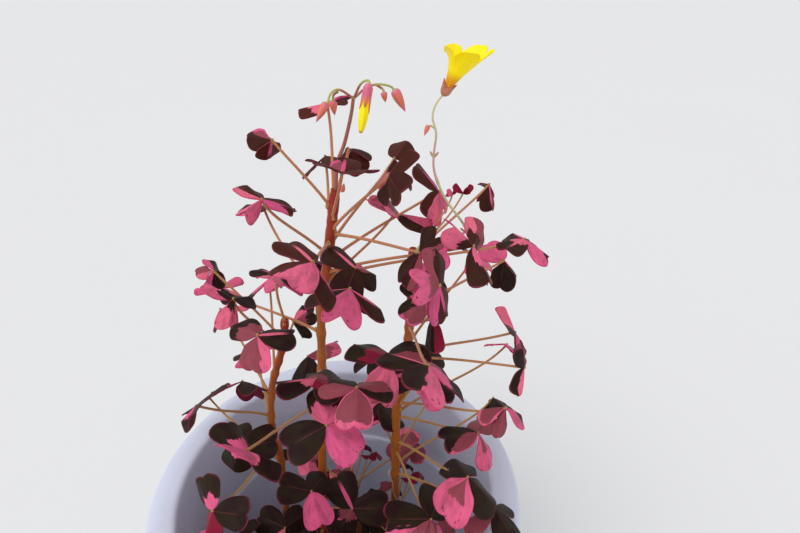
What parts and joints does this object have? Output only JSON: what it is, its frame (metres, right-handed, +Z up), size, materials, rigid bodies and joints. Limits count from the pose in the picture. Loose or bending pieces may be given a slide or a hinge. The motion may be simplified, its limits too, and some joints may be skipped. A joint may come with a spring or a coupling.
{
  "type": "potted oxalis vulcanicola",
  "caption": "Small house plant with three-part heart-shaped dark and pink leaves on upright red stems and yellow flowers, in a pale round plastic pot.",
  "frame": {"origin": "centre of the pot's flat underside", "axes": "+Z up along the pot's axis, -Y towards the viewer, +X to the viewer's right"},
  "size_m": [0.1421, 0.14, 0.2895],
  "materials": {
    "pot_plastic": "smooth moulded plastic with a soft shine, white with a slight lilac cast",
    "potting_soil": "matt crumbly peat with pale grit",
    "leafy_growth": "satin leaf skin, dark olive brown and bright pink in sharp-edged patches, crimson below",
    "stem_skin": "smooth fleshy stem, red at the top and amber brown lower down",
    "petals": "thin soft petal, bright yellow with orange brown veins at the foot"
  },
  "bodies": {
    "root": {"pot": "pot_plastic", "soil": "potting_soil", "stem_middle": "leafy_growth", "stem_right": "leafy_growth", "stem_left": "leafy_growth", "shoot_back": "leafy_growth", "shoot_front_left": "leafy_growth", "shoot_front_right": "leafy_growth", "open_flower": "petals", "closed_flower": "petals"}
  },
  "joints": []
}
